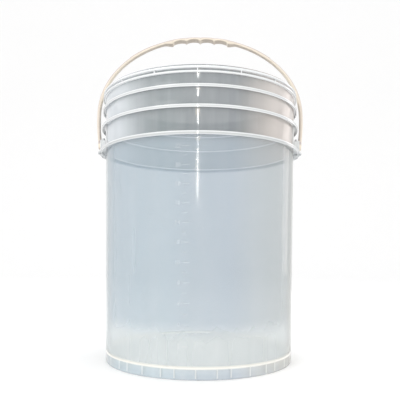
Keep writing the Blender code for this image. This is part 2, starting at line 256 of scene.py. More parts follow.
def cylinder_along_x(builder, x_from, x_to, r_from, r_to, sides=48):
    """A cylinder or cone frustum on the pivot axis."""
    turn = Matrix.Rotation(math.radians(90.0) * (1.0 if x_to > x_from else -1.0), 4, "Y")
    place = Matrix.Translation(((x_from + x_to) / 2.0, 0.0, PIVOT_HEIGHT)) @ turn
    bmesh.ops.create_cone(builder, cap_ends=True, segments=sides, radius1=r_from, radius2=r_to,
                          depth=abs(x_to - x_from), matrix=place)


def combine(target, tools, operation):
    """Joins or cuts with exact Booleans, keeps the result, and removes the tools."""
    for tool in tools:
        modifier = target.modifiers.new(tool.name, "BOOLEAN")
        modifier.operation = operation
        modifier.solver = "EXACT"
        modifier.object = tool
    depsgraph = bpy.context.evaluated_depsgraph_get()
    mesh = bpy.data.meshes.new_from_object(target.evaluated_get(depsgraph))
    target.modifiers.clear()
    target.data = mesh
    for tool in tools:
        bpy.data.objects.remove(tool, do_unlink=True)


def smooth(made, angle=35.0):
    made.data.shade_smooth()
    made.data.set_sharp_from_angle(angle=math.radians(angle))


# --- bucket ---------------------------------------------------------------------------------------

def rib_outline(top, radius, lip):
    """One rib from its top corner at the wall to its bottom corner at the wall."""
    underside = top - RIB_PLATE
    return [
        (wall_radius(top), top, 0.0006),
        (radius, top, 0.0006),
        (radius, top - lip, 0.0005),
        (radius - RIB_LIP_WALL, top - lip, 0.0004),
        (radius - RIB_LIP_WALL, underside, 0.0004),
        (wall_radius(underside), underside, 0.0008),
    ]


def bucket_outline():
    """Closed half section: out over the mouth, down the outside, and back up the inside."""
    mouth = wall_radius(RIM_TOP)
    skirt_inside = BASE_RADIUS - WALL
    under_floor = FLOOR_TOP - FLOOR_THICKNESS
    corner_z = FLOOR_TOP + CORNER
    outline = [
        (mouth - WALL, 0.5 * (RIM_TOP + BEAD_TOP), 0.0),
        (mouth - WALL, RIM_TOP, 0.0009),
        (mouth, RIM_TOP, 0.0009),
        (wall_radius(BEAD_TOP), BEAD_TOP, 0.0007),
        (BEAD_RADIUS, BEAD_TOP, 0.0014),
        (BEAD_RADIUS, BEAD_BOTTOM, 0.0007),
        (wall_radius(BEAD_BOTTOM), BEAD_BOTTOM, 0.0006),
    ]
    for rib in RIBS:
        outline += rib_outline(*rib)
    outline += [
        (wall_radius(0.325), 0.325, 0.0),
        (wall_radius(0.240), 0.240, 0.0),
        (wall_radius(0.160), 0.160, 0.0),
        (wall_radius(0.080), 0.080, 0.0),
        (wall_radius(0.020), 0.020, 0.0),
        (BASE_RADIUS, 0.0, FOOT_FILLET),
        (skirt_inside, 0.0, FOOT_FILLET),
        (skirt_inside, under_floor, 0.0012),
        (0.1410, under_floor, 0.0),
        (CENTRE_RADIUS + 0.004, under_floor, 0.0),
        (CENTRE_RADIUS, under_floor, 0.0),
        (CENTRE_RADIUS - CENTRE_RIDGE, under_floor + CENTRE_RIDGE, 0.0004),
        (CENTRE_RADIUS - 3.0 * CENTRE_RIDGE, under_floor, 0.0004),
        (CENTRE_RADIUS - 0.006, under_floor, 0.0),
        (GATE_RADIUS, under_floor, 0.0),
        (0.6 * GATE_RADIUS, under_floor - 0.5 * GATE_RADIUS, 0.0006),
        (0.0, under_floor - 0.5 * GATE_RADIUS, 0.0),
    ]
    inside = [
        (0.0, FLOOR_TOP, 0.0),
        (CENTRE_RADIUS - 0.006, FLOOR_TOP, 0.0),
        (CENTRE_RADIUS - 3.0 * CENTRE_RIDGE, FLOOR_TOP, 0.0),
        (CENTRE_RADIUS - CENTRE_RIDGE, FLOOR_TOP + CENTRE_RIDGE, 0.0005),
        (CENTRE_RADIUS + CENTRE_RIDGE, FLOOR_TOP, 0.0004),
        (CENTRE_RADIUS + 0.005, FLOOR_TOP, 0.0),
        (0.1400, FLOOR_TOP, 0.0),
        (wall_radius(corner_z) - WALL, FLOOR_TOP, CORNER),
        (wall_radius(0.022) - WALL, 0.022, 0.0),
        (wall_radius(0.080) - WALL, 0.080, 0.0),
        (wall_radius(0.160) - WALL, 0.160, 0.0),
        (wall_radius(0.240) - WALL, 0.240, 0.0),
        (wall_radius(0.325) - WALL, 0.325, 0.0),
        (mouth - WALL, 0.5 * (RIM_TOP + BEAD_TOP), 0.0),
    ]
    return rounded(outline), rounded(inside)


def bucket_shell():
    outside, inside = bucket_outline()
    builder = lathe(outside + inside[1:] if outside[-1] == inside[0] else outside, SEGMENTS)
    upper = lathe(inside, SEGMENTS)
    spare = bpy.data.meshes.new("bucket_inside")
    upper.to_mesh(spare)
    upper.free()
    builder.from_mesh(spare)
    bpy.data.meshes.remove(spare)
    bmesh.ops.remove_doubles(builder, verts=builder.verts[:], dist=1e-6)
    return object_from("bucket_shell", builder)


def rim_gussets():
    """Short webs that bridge the gap between the lid bead and the top rib."""
    builder = bmesh.new()
    top = BEAD_BOTTOM + BITE
    bottom = RIBS[0][0] - BITE
    inner = wall_radius(bottom) - BITE
    outer = BEAD_RADIUS - BITE
    for index in range(RIM_GUSSETS):
        angle = -math.pi / 2.0 + RIM_GUSSET_SHIFT + 2.0 * math.pi * index / RIM_GUSSETS
        radial_plate(builder, angle, WEB_THICKNESS,
                     [(inner, top), (outer, top), (outer, bottom), (inner, bottom)])
    return object_from("tool_rim_gussets", builder)


def foot_webs():
    """Webs between the skirt and the floor's underside, in groups of three."""
    builder = bmesh.new()
    top = FLOOR_TOP - FLOOR_THICKNESS + BITE
    outer = BASE_RADIUS - WALL + BITE
    inner = BASE_RADIUS - WALL - FOOT_WEB_REACH
    for sector in range(FOOT_SECTORS):
        start = -math.pi / 2.0 + FOOT_WEB_SHIFT + 2.0 * math.pi * sector / FOOT_SECTORS
        for step in FOOT_WEB_STEPS:
            radial_plate(builder, start + step, WEB_THICKNESS,
                         [(inner, top), (outer, top), (outer, FOOT_WEB_BOTTOM), (inner, FOOT_WEB_BOTTOM)])
    return object_from("tool_foot_webs", builder)


def ear_shelf(side):
    """The lowest rib widened into a shelf: a straight edge, with tangents back to the rib's circle."""
    rib_top, rib_radius, _ = RIBS[3]
    radius = rib_radius - BITE / 2.0
    corner = Vector((SHELF_REACH, EAR_SHELF_HALF))
    tangent = math.atan2(corner.y, corner.x) + math.acos(radius / corner.length)
    inner = wall_radius(rib_top) - BITE
    plan = [(radius * math.cos(tangent), -radius * math.sin(tangent)), (corner.x, -corner.y),
            (corner.x, corner.y), (radius * math.cos(tangent), radius * math.sin(tangent))]
    steps = 16
    for step in range(steps + 1):
        angle = tangent * (1.0 - 2.0 * step / steps)
        plan.append((inner * math.cos(angle), inner * math.sin(angle)))
    builder = bmesh.new()
    prism(builder, [(side * x, y, rib_top - EAR_SHELF_THICKNESS) for x, y in plan],
          (0.0, 0.0, EAR_SHELF_THICKNESS - 0.0001))
    soften(builder, 0.0005)
    return object_from("tool_ear_shelf", builder)


def ear_plate(side):
    """Upright plate with a round lug about the pivot."""
    builder = bmesh.new()
    bottom = RIBS[3][0] - BITE
    start = math.asin((EAR_SHOULDER - PIVOT_HEIGHT) / EAR_LUG_RADIUS)
    front = [(-EAR_HALF_WIDTH, bottom), (EAR_HALF_WIDTH, bottom), (EAR_HALF_WIDTH, EAR_SHOULDER)]
    steps = 20
    for step in range(steps + 1):
        angle = start + (math.pi - 2.0 * start) * step / steps
        front.append((EAR_LUG_RADIUS * math.cos(angle), PIVOT_HEIGHT + EAR_LUG_RADIUS * math.sin(angle)))
    front.append((-EAR_HALF_WIDTH, EAR_SHOULDER))
    prism(builder, [(side * EAR_PLATE_INNER, y, z) for y, z in front],
          (side * (EAR_PLATE_OUTER - EAR_PLATE_INNER), 0.0, 0.0))
    soften(builder, 0.0004)
    return object_from("tool_ear_plate", builder)


def box_web(side, outline, y_middle):
    """A flat web across the Y direction; its outline is a list of (x, z)."""
    builder = bmesh.new()
    start = y_middle - EAR_WEB_THICKNESS / 2.0
    prism(builder, [(side * x, start, z) for x, z in outline], (0.0, EAR_WEB_THICKNESS, 0.0))
    soften(builder, 0.0003)
    return object_from("tool_ear_web", builder)


def ear_webs(side):
    rib_top = RIBS[3][0]
    bottom = rib_top - BITE
    root = math.sqrt(wall_radius(bottom) ** 2 - EAR_HALF_WIDTH ** 2) - 2.0 * BITE
    outer = EAR_PLATE_OUTER - BITE
    web = [(root, bottom), (outer, bottom), (outer, EAR_SHOULDER - BITE), (root, EAR_SHOULDER - BITE)]
    low = rib_top - EAR_SHELF_THICKNESS - EAR_GUSSET_DROP
    wall = wall_radius(low)
    tip = SHELF_REACH - BITE
    gusset = [(wall - 2.0 * BITE, rib_top - BITE), (tip, rib_top - BITE),
              (tip, rib_top - EAR_SHELF_THICKNESS - EAR_GUSSET_TIP), (wall, low), (wall - 2.0 * BITE, low)]
    strap_top = RIBS[2][0] - RIB_PLATE + BITE
    strap = [(wall_radius(strap_top) - 2.0 * BITE, strap_top),
             (wall_radius(strap_top) + WALL_STRAP_REACH, strap_top),
             (wall_radius(bottom) + WALL_STRAP_REACH, bottom), (wall_radius(bottom) - 2.0 * BITE, bottom)]
    middle = 0.0 if side > 0 else math.pi
    made = []
    for turn in (-1.0, 1.0):
        made.append(box_web(side, web, turn * (EAR_HALF_WIDTH - EAR_WEB_THICKNESS / 2.0 - BITE)))
        made.append(box_web(side, gusset, turn * EAR_GUSSET_PLACE))
        builder = bmesh.new()
        radial_plate(builder, middle + turn * WALL_STRAP_ANGLE, EAR_WEB_THICKNESS, strap)
        soften(builder, 0.0003)
        made.append(object_from("tool_wall_strap", builder))
    return made


def height_of(litres):
    """Height of the surface of a volume of liquid in the bucket."""
    level = FLOOR_TOP
    step = 0.0005
    volume = 0.0
    while volume < litres / 1000.0:
        volume += math.pi * (wall_radius(level) - WALL) ** 2 * step
        level += step
    return level


def wrapped(builder, angle, height):
    """Bends flat relief in the XY plane, with its thickness along Z, on to the wall."""
    for vertex in builder.verts:
        z = height + vertex.co.y
        radius = wall_radius(z) + vertex.co.z
        turn = angle + vertex.co.x / radius
        vertex.co = (radius * math.cos(turn), radius * math.sin(turn), z)


def scale_marks():
    """Raised litre scale left of the front: a tick for each litre, a number for every second one."""
    marks = bmesh.new()
    for litres in range(SCALE_FIRST, SCALE_LAST + 1):
        height = height_of(litres)
        even = litres % 2 == 0
        builder = bmesh.new()
        size = (0.010 if even else 0.006, 0.0007, 2.0 * SCALE_RELIEF)
        bmesh.ops.create_cube(builder, size=1.0, matrix=Matrix.Diagonal((*size, 1.0)))
        bmesh.ops.subdivide_edges(builder, edges=builder.edges[:], cuts=3, use_grid_fill=True)
        bmesh.ops.translate(builder, verts=builder.verts[:], vec=(size[0] / 2.0, 0.0, 0.0))
        wrapped(builder, -math.pi / 2.0 + TICK_ANGLE, height)
        parts = [builder]
        if even:
            curve = bpy.data.curves.new("number", "FONT")
            curve.body = str(litres)
            curve.size = 0.0085
            curve.extrude = SCALE_RELIEF
            curve.align_x = "RIGHT"
            curve.align_y = "CENTER"
            curve.resolution_u = 3
            letters = bpy.data.objects.new("number", curve)
            bpy.context.scene.collection.objects.link(letters)
            graph = bpy.context.evaluated_depsgraph_get()
            mesh = bpy.data.meshes.new_from_object(letters.evaluated_get(graph))
            builder = bmesh.new()
            builder.from_mesh(mesh)
            wrapped(builder, -math.pi / 2.0 + NUMBER_ANGLE, height)
            parts.append(builder)
            bpy.data.objects.remove(letters, do_unlink=True)
            bpy.data.meshes.remove(mesh)
            bpy.data.curves.remove(curve)
        for part in parts:
            spare = bpy.data.meshes.new("mark")
            part.to_mesh(spare)
            part.free()
            marks.from_mesh(spare)
            bpy.data.meshes.remove(spare)
    return marks


def make_bucket():
    bucket = bucket_shell()
    tools = [rim_gussets(), foot_webs()]
    bores = []
    for side in (1.0, -1.0):
        tools += [ear_shelf(side), ear_plate(side)] + ear_webs(side)
        builder = bmesh.new()
        cylinder_along_x(builder, side * (EAR_PLATE_INNER - BITE), side * (EAR_PLATE_OUTER + BITE),
                         BORE_RADIUS, BORE_RADIUS)
        bores.append(object_from("tool_bore", builder))
    combine(bucket, tools, "UNION")
    combine(bucket, bores, "DIFFERENCE")
    builder = scale_marks()
    builder.from_mesh(bucket.data)
    builder.to_mesh(bucket.data)
    builder.free()
    smooth(bucket)
    return bucket


# --- handle ---------------------------------------------------------------------------------------

def arch_point(t):
    """Point of the handle's outer outline and its outward normal, both in the XZ plane.

    t is -1 at the foot of the left leg, 0 at the crown and 1 at the foot of the right leg.
    """
    side = 1.0 if t >= 0.0 else -1.0
    leg = ARCH_SPRING - LEG_BOTTOM
    arch = 0.5 * math.pi * math.sqrt((ARCH_HALF_WIDTH ** 2 + ARCH_RISE ** 2) / 2.0)
    along = abs(t) * (leg + arch)
    if along <= arch:
        angle = 0.5 * math.pi * (1.0 - along / arch)
        level = max(math.cos(angle), 0.0)
        power = 2.0 / ARCH_POWER
        x = ARCH_HALF_WIDTH * level ** power
        z = ARCH_SPRING + ARCH_RISE * math.sin(angle) ** power
        normal = Vector((level ** (2.0 - power) / ARCH_HALF_WIDTH, 0.0,
                         math.sin(angle) ** (2.0 - power) / ARCH_RISE))
    else:
        fall = (along - arch) / leg
        x = ARCH_HALF_WIDTH - LEG_LEAN * fall ** LEG_LEAN_POWER
        z = ARCH_SPRING - leg * fall
        normal = Vector((leg, 0.0, -LEG_LEAN * LEG_LEAN_POWER * fall ** (LEG_LEAN_POWER - 1.0)))
    normal.normalize()
    return Vector((side * x, 0.0, z)), Vector((side * normal.x, 0.0, normal.z))


def smooth_step(low, high, value):
    fraction = min(max((value - low) / (high - low), 0.0), 1.0)
    return fraction * fraction * (3.0 - 2.0 * fraction)


def handle_thickness(x, t):
    """In-plane thickness of the handle where its outline is x from the centre."""
    if abs(x) <= GRIP_HALF:
        pitch = 2.0 * GRIP_HALF / FINGERS
        phase = ((x + GRIP_HALF) / pitch) % 1.0
        hollow = math.sqrt(max(1.0 - (2.0 * phase - 1.0) ** 2, 0.0))
        return GRIP_THICK - (GRIP_THICK - GRIP_THIN) * hollow
    blend = smooth_step(GRIP_HALF, GRIP_HALF + SHOULDER_BLEND, abs(x))
    arm = SHOULDER_THIN + (ARM_THICK - SHOULDER_THIN) * smooth_step(0.065, 0.120, abs(x))
    arm += (LEG_THICK - ARM_THICK) * smooth_step(0.55, 0.95, abs(t))
    return GRIP_THICK + (arm - GRIP_THICK) * blend


def handle_width(x, t):
    """Width along Y: a plain strip that flares into the grip."""
    if abs(t) > 0.5:
        return ARM_WIDTH
    flare = 1.0 - smooth_step(GRIP_HALF, GRIP_HALF + FLARE, abs(x))
    return ARM_WIDTH + (GRIP_WIDTH - ARM_WIDTH) * flare


def arm_inset(point):
    """How far the arm's outer face lies inside the outline: a small step that fades out down the arm."""
    step = smooth_step(ARM_STEP, ARM_STEP + 0.0016, abs(point.x))
    return ARM_STEP_DEPTH * step * smooth_step(0.440, 0.495, point.z)


def handle_section(thickness, half, count=28):
    """A rounded strip section as (y, depth) points, its widest line a fixed way above the underside."""
    belly = min(0.6 * thickness, 0.0058)
    crown = thickness - belly
    points = []
    for index in range(count):
        angle = 2.0 * math.pi * (index + 0.5) / count
        c, s = math.cos(angle), math.sin(angle)
        y = half * math.copysign(abs(c) ** 0.55, c)
        height = math.copysign(abs(s) ** 0.75, s)
        depth = -crown + (crown if s > 0 else belly) * height
        points.append((y, depth))
    return points


def handle_body():
    builder = bmesh.new()
    rings = []
    stations = 420
    for index in range(stations + 1):
        t = 2.0 * index / stations - 1.0
        point, normal = arch_point(t)
        inset = arm_inset(point)
        section = handle_section(handle_thickness(point.x, t) - inset, handle_width(point.x, t) / 2.0)
        places = [point + normal * (depth - inset) + Vector((0.0, y, 0.0)) for y, depth in section]
        rings.append([builder.verts.new(place) for place in places])
    for ring, following in zip(rings, rings[1:]):
        for index in range(len(ring)):
            other = (index + 1) % len(ring)
            builder.faces.new((ring[index], ring[other], following[other], following[index]))
    builder.faces.new(rings[0])
    builder.faces.new(list(reversed(rings[-1])))
    return object_from("bail", builder)


def make_handle():
    handle = handle_body()
    joined = []
    slits = []
    for side in (1.0, -1.0):
        turned = ((HUB_INNER, HUB_OUTER, HUB_RADIUS, HUB_RADIUS, 0.0005),
                  (HUB_INNER + BITE, PIN_TIP + BITE, PIN_RADIUS, PIN_RADIUS, 0.0),
                  (BARB_START, PIN_TIP, BARB_RADIUS, BARB_TIP_RADIUS, 0.0))
        for x_from, x_to, r_from, r_to, edge in turned:
            builder = bmesh.new()
            cylinder_along_x(builder, side * x_from, side * x_to, r_from, r_to)
            if edge:
                soften(builder, edge)
            joined.append(object_from("tool_pin", builder))
        builder = bmesh.new()
        low, high = PIVOT_HEIGHT - HUB_RADIUS, PIVOT_HEIGHT + HUB_RADIUS
        x_from, x_to = side * (PIN_TIP - BITE), side * EAR_PLATE_OUTER
        outline = [(x_from, low), (x_to, low), (x_to, high), (x_from, high)]
        prism(builder, [(x, -PIN_SLIT / 2.0, z) for x, z in outline], (0.0, PIN_SLIT, 0.0))
        slits.append(object_from("tool_slit", builder))
    combine(handle, joined, "UNION")
    combine(handle, slits, "DIFFERENCE")
    smooth(handle)
    return handle


# --- materials ------------------------------------------------------------------------------------

def new_material(name):
    material = bpy.data.materials.new(name)
    material.use_nodes = True
    nodes = material.node_tree.nodes
    return material, nodes, material.node_tree.links, nodes["Principled BSDF"]


def maths(nodes, links, operation, *values):
    """A Math node with its inputs linked or set; returns its output."""
    node = nodes.new("ShaderNodeMath")
    node.operation = operation
    for socket, value in zip(node.inputs, values):
        if isinstance(value, (int, float)):
            socket.default_value = value
        else:
            links.new(value, socket)
    return node.outputs[0]


def between(nodes, links, value, low, high, to_low=0.0, to_high=1.0):
    """Smooth Map Range of a value."""
    node = nodes.new("ShaderNodeMapRange")
    node.interpolation_type = "SMOOTHSTEP"
    links.new(value, node.inputs["Value"])
    node.inputs["From Min"].default_value = low
    node.inputs["From Max"].default_value = high
    node.inputs["To Min"].default_value = to_low
    node.inputs["To Max"].default_value = to_high
    return node.outputs["Result"]


def blend_colour(nodes, links, share, first, second):
    node = nodes.new("ShaderNodeMix")
    node.data_type = "RGBA"
    if isinstance(share, (int, float)):
        node.inputs["Factor"].default_value = share
    else:
        links.new(share, node.inputs["Factor"])
    for socket, value in ((node.inputs[6], first), (node.inputs[7], second)):
        if isinstance(value, tuple):
            socket.default_value = (*value, 1.0)
        else:
            links.new(value, socket)
    return node.outputs[2]


def height_ramp(nodes, links, z, stops):
    """A ramp over the bucket's height; stops are (height, colour), with a grey given as one number."""
    share = maths(nodes, links, "DIVIDE", z, RIM_TOP)
    node = nodes.new("ShaderNodeValToRGB")
    links.new(share, node.inputs[0])
    ramp = node.color_ramp
    while len(ramp.elements) < len(stops):
        ramp.elements.new(0.5)
    for element, (height, value) in zip(ramp.elements, sorted(stops)):
        element.position = height / RIM_TOP
        element.color = (*value, 1.0) if isinstance(value, tuple) else (value, value, value, 1.0)
    return node.outputs[0]


def noise(nodes, links, place, stretch, scale, detail=2.0):
    """Noise over the object's own coordinates, stretched along each axis."""
    mapping = nodes.new("ShaderNodeMapping")
    mapping.inputs["Scale"].default_value = stretch
    links.new(place, mapping.inputs[0])
    node = nodes.new("ShaderNodeTexNoise")
    node.inputs["Scale"].default_value = scale
    node.inputs["Detail"].default_value = detail
    links.new(mapping.outputs[0], node.inputs["Vector"])
    return node.outputs[0]


def clear_plastic():
    """Hazy natural polypropylene: whiter and denser where the moulding is thick, denser where seen edge on;
    its colour holds painted reflection (grey and blue bands up the wall, a colour cast across it) and
    painted light and shade at the wall's edges and on the rib lips.
    """
    material, nodes, links, shader = new_material("clear_plastic")
    coords = nodes.new("ShaderNodeTexCoord")
    place = coords.outputs["Object"]
    parts = nodes.new("ShaderNodeSeparateXYZ")
    links.new(place, parts.inputs[0])
    x, y, z = parts.outputs
    root = FLOOR_TOP - 0.0016
    line = FLOOR_TOP + 0.0002
    top = RIBS[3][0] - 0.0030
    radius = maths(nodes, links, "SQRT", maths(nodes, links, "ADD", maths(nodes, links, "MULTIPLY", x, x),
                                               maths(nodes, links, "MULTIPLY", y, y)))
    wall = maths(nodes, links, "MULTIPLY_ADD", z, WALL_TAPER, BASE_RADIUS)
    outside = maths(nodes, links, "SUBTRACT", radius, wall)
    proud = between(nodes, links, outside, 0.0008, 0.0028)
    inner = between(nodes, links, outside, -0.0008, -0.0014)
    web = maths(nodes, links, "MULTIPLY", between(nodes, links, outside, -0.0024, -0.0028),
                between(nodes, links, z, 0.0127, 0.0122))
    ring = maths(nodes, links, "SUBTRACT", radius, CENTRE_RADIUS - CENTRE_RIDGE)
    ring = maths(nodes, links, "ABSOLUTE", ring)
    ring = between(nodes, links, ring, 0.0016, 0.0006)
    corner = maths(nodes, links, "MULTIPLY", between(nodes, links, outside, -0.0080, -0.0060),
                   between(nodes, links, z, FLOOR_TOP + 0.0036, FLOOR_TOP + 0.0024))
    foot = maths(nodes, links, "MAXIMUM", maths(nodes, links, "MAXIMUM", web, ring),
                 maths(nodes, links, "MULTIPLY", corner, between(nodes, links, z, root, root + 0.001)))
    disc = between(nodes, links, outside, -0.0060, -0.0080)
    # Pale lines where the foot's webs stand behind the skirt, in groups that repeat round the bucket
    per_turn = FOOT_SECTORS / (2.0 * math.pi)
    turn = maths(nodes, links, "MULTIPLY_ADD", maths(nodes, links, "ARCTAN2", y, x), per_turn,
                 0.5 + (math.pi / 2.0 - FOOT_WEB_SHIFT) * per_turn)
    turn = maths(nodes, links, "FLOORED_MODULO", turn, 1.0)
    height = maths(nodes, links, "MULTIPLY",
                   between(nodes, links, z, FOOT_WEB_BOTTOM - 0.0004, FOOT_WEB_BOTTOM),
                   between(nodes, links, z, root + 0.0004, root))
    for step in FOOT_WEB_STEPS:
        share = (0.5 + step * per_turn) % 1.0
        gap = maths(nodes, links, "ABSOLUTE", maths(nodes, links, "SUBTRACT", turn, share))
        stripe = maths(nodes, links, "MULTIPLY", between(nodes, links, gap, 0.018, 0.008), height)
        foot = maths(nodes, links, "MAXIMUM", foot, maths(nodes, links, "MULTIPLY", stripe, 0.62))
    foot = maths(nodes, links, "MAXIMUM", foot,
                 maths(nodes, links, "MULTIPLY", inner, between(nodes, links, z, 0.0030, 0.0018)))
    under = maths(nodes, links, "MULTIPLY", disc, between(nodes, links, z, root - 0.0003, root - 0.0009))
    relief = between(nodes, links, outside, 0.00012, 0.00026)
    hidden = maths(nodes, links, "MULTIPLY", between(nodes, links, outside, -0.00045, -0.00035),
                   between(nodes, links, outside, -0.00008, -0.00018))

    # Painted reflection: the grey and blue bands up the wall stand in for the surroundings reflected in the
    # plastic; the pale line where the floor meets the wall is the moulding's own colour
    tones = [(0.0, (0.46, 0.53, 0.62)), (0.004, (0.66, 0.74, 0.82)), (root, (0.72, 0.78, 0.83)),
             (root + 0.0006, FLOOR_LINE_TONE), (line, FLOOR_LINE_TONE), (line + 0.0009, (0.44, 0.52, 0.57)),
             (0.034, (0.355, 0.44, 0.51)), (0.110, (0.345, 0.43, 0.50)), (top, (0.33, 0.41, 0.485)),
             (top + 0.003, UPPER_PAINTED_REFLECTION), (RIM_TOP, UPPER_PAINTED_REFLECTION)]
    tone = height_ramp(nodes, links, z, tones)
    # Opacity up the wall; the high opacity between the ribs carries the painted dark reflection
    opacity_by_height = [(0.0, 0.60), (0.004, 0.42), (root, 0.42), (root + 0.0006, 0.70), (line, 0.70),
               (line + 0.0009, 0.33), (0.110, 0.33), (top, 0.33), (top + 0.003, 0.69), (RIM_TOP, 0.69)]
    thickness = height_ramp(nodes, links, z, opacity_by_height)
    thickness = maths(nodes, links, "MULTIPLY_ADD", disc, -0.17, thickness)
    thickness = maths(nodes, links, "MULTIPLY_ADD", under, -0.12, thickness)

    # The wall is brighter where a flange meets it; painted shade runs across the middle of the lip of each
    # of the lower three ribs
    flange = lip_painted_shade = None
    for rib in RIBS:
        for middle, reach in ((rib[0] - RIB_PLATE / 2.0, 0.0016), (rib[0] - 0.55 * rib[2], 0.0014)):
            gap = maths(nodes, links, "ABSOLUTE", maths(nodes, links, "SUBTRACT", z, middle))
            band = between(nodes, links, gap, reach, 0.0006)
            if reach == 0.0016:
                flange = band if flange is None else maths(nodes, links, "MAXIMUM", flange, band)
            elif rib is not RIBS[0]:
                lip_painted_shade = band if lip_painted_shade is None else maths(nodes, links, "MAXIMUM", lip_painted_shade, band)
    lip_painted_shade = maths(nodes, links, "MULTIPLY", lip_painted_shade, proud)
    pale = maths(nodes, links, "MAXIMUM", maths(nodes, links, "MAXIMUM", proud, foot), flange)
    marked = maths(nodes, links, "MULTIPLY", relief, maths(nodes, links, "SUBTRACT", 1.0, proud))

    flow = noise(nodes, links, place, (1.0, 1.0, 0.06), 60.0, 3.0)
    cloud = noise(nodes, links, place, (1.0, 1.0, 0.5), 14.0, 2.0)

    # Painted reflection: a colour cast across the wall, bluish on the left, darker in the middle and warm on
    # the right, multiplied into its tone
    reflection_cast_ramp = nodes.new("ShaderNodeValToRGB")
    links.new(maths(nodes, links, "MULTIPLY_ADD", x, 1.0 / 0.32, 0.5), reflection_cast_ramp.inputs[0])
    reflection_cast_stops = ((-0.150, (0.99, 0.99, 0.99)), (-0.120, (0.95, 1.02, 1.03)), (-0.045, (0.95, 1.02, 1.03)),
            (-0.010, (0.89, 0.93, 0.95)), (0.050, (0.89, 0.92, 0.96)), (0.080, (1.02, 0.98, 0.93)),
            (0.120, (1.07, 0.98, 0.87)), (0.150, (1.02, 0.95, 0.83)))
    while len(reflection_cast_ramp.color_ramp.elements) < len(reflection_cast_stops):
        reflection_cast_ramp.color_ramp.elements.new(0.5)
    for element, (across, value) in zip(reflection_cast_ramp.color_ramp.elements, reflection_cast_stops):
        element.position = across / 0.32 + 0.5
        element.color = (*value, 1.0)
    reflection_cast = reflection_cast_ramp.outputs[0]
    with_reflection_cast = nodes.new("ShaderNodeMix")
    with_reflection_cast.data_type = "RGBA"
    with_reflection_cast.blend_type = "MULTIPLY"
    with_reflection_cast.inputs["Factor"].default_value = 1.0
    links.new(tone, with_reflection_cast.inputs[6])
    links.new(reflection_cast, with_reflection_cast.inputs[7])
    # Painted reflection: the inner face is mixed towards a paler colour, so the dark painted tones stay on
    # the outer face
    body = blend_colour(nodes, links, maths(nodes, links, "MULTIPLY", inner, 0.45), with_reflection_cast.outputs[2],
                        (0.74, 0.78, 0.80))
    body = blend_colour(nodes, links, disc, body, FLOOR_DISC_TONE)
    # Painted light: the near side of the wall just above the floor is made paler
    near = maths(nodes, links, "MULTIPLY", between(nodes, links, y, -0.02, -0.09),
                 maths(nodes, links, "MULTIPLY", between(nodes, links, z, 0.080, 0.048),
                       between(nodes, links, z, line, line + 0.0009)))
    body = blend_colour(nodes, links, near, body, NEAR_BASE_PAINTED_LIGHT)
    streaked = blend_colour(nodes, links, between(nodes, links, flow, 0.35, 0.75, 0.0, 0.10), body,
                            (0.80, 0.80, 0.80))
    # Painted light and shade: where the lower wall is seen edge on, its colour turns paler, cool on the left
    # and darker and warmer on the right
    weight = nodes.new("ShaderNodeLayerWeight")
    weight.inputs["Blend"].default_value = 0.5
    limb = between(nodes, links, weight.outputs["Facing"], 0.55, 1.0)
    across = between(nodes, links, x, -0.05, 0.05)
    painted_edge_tone = blend_colour(nodes, links, across, *LIMB_PAINTED_LIGHT_AND_SHADE)
    with_painted_edges = blend_colour(nodes, links, maths(nodes, links, "MULTIPLY", limb, 0.75), streaked, painted_edge_tone)
    # Painted light: the upper wall turns paler towards its edges, making up for the shade of the ribs;
    # cooler on the left, warmer on the right, and starting later on the left
    rim_side = maths(nodes, links, "MULTIPLY_ADD", x, 0.4, weight.outputs["Facing"])
    rim_side = between(nodes, links, rim_side, 0.10, 0.50)
    rim_side = maths(nodes, links, "MULTIPLY", rim_side, between(nodes, links, z, top, top + 0.003))
    painted_edge_tone = blend_colour(nodes, links, across, *RIM_SIDE_PAINTED_LIGHT)
    with_painted_edges = blend_colour(nodes, links, maths(nodes, links, "MULTIPLY", rim_side, 0.9), with_painted_edges, painted_edge_tone)
    # Painted shade: the ribs' pale colour is darker across the middle of each lip
    white = blend_colour(nodes, links, lip_painted_shade, (0.74, 0.76, 0.77), (0.60, 0.62, 0.63))
    white = blend_colour(nodes, links, foot, white, (0.86, 0.85, 0.80))
    painted = blend_colour(nodes, links, pale, with_painted_edges, white)
    marked = maths(nodes, links, "MULTIPLY", marked, 0.8)
    links.new(blend_colour(nodes, links, marked, painted, SCALE_TONE), shader.inputs["Base Color"])
    alpha = maths(nodes, links, "MULTIPLY_ADD", pale, 0.36, thickness)
    alpha = maths(nodes, links, "MULTIPLY_ADD", limb, 0.30, alpha)
    alpha = maths(nodes, links, "MULTIPLY_ADD", maths(nodes, links, "SUBTRACT", flow, 0.5), 0.07, alpha)
    alpha = maths(nodes, links, "MULTIPLY_ADD", maths(nodes, links, "SUBTRACT", cloud, 0.5), 0.05, alpha)
    alpha = maths(nodes, links, "MINIMUM", alpha, 0.96)
    links.new(maths(nodes, links, "MULTIPLY", alpha, maths(nodes, links, "SUBTRACT", 1.0, hidden)),
              shader.inputs["Alpha"])

    gloss = between(nodes, links, cloud, 0.3, 0.7, 0.05, 0.11)
    links.new(maths(nodes, links, "MULTIPLY_ADD", inner, 0.25, gloss), shader.inputs["Roughness"])
    bump = nodes.new("ShaderNodeBump")
    bump.inputs["Strength"].default_value = 0.035
    bump.inputs["Distance"].default_value = 0.001
    links.new(cloud, bump.inputs["Height"])
    links.new(bump.outputs[0], shader.inputs["Normal"])
    shader.inputs["IOR"].default_value = 1.49
    return material


